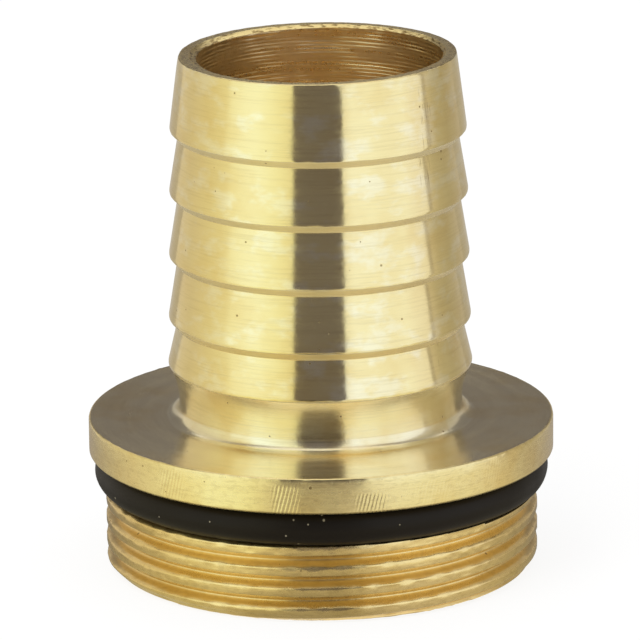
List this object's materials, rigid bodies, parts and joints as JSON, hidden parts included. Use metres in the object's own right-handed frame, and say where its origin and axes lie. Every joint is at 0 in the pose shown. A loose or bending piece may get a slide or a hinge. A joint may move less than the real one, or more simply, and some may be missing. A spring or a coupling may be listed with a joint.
{
  "type": "hose barb tail",
  "caption": "Brass hose tail with graded barbs, a round flange, a parallel pipe thread spigot and a rubber sealing ring under the flange.",
  "frame": {"origin": "centre of the threaded end's face, on which the part stands", "axes": "+Z along the waterway, from the threaded end up to the hose end; +X and +Y are any two directions square to it"},
  "size_m": [0.0513, 0.0512, 0.0575],
  "materials": {
    "brass": "bare turned brass, bright, with fine turning marks",
    "rubber": "black nitrile rubber, slightly glossy"
  },
  "bodies": {
    "root": {"tail_body": "brass", "sealing_ring": "rubber"}
  },
  "joints": []
}
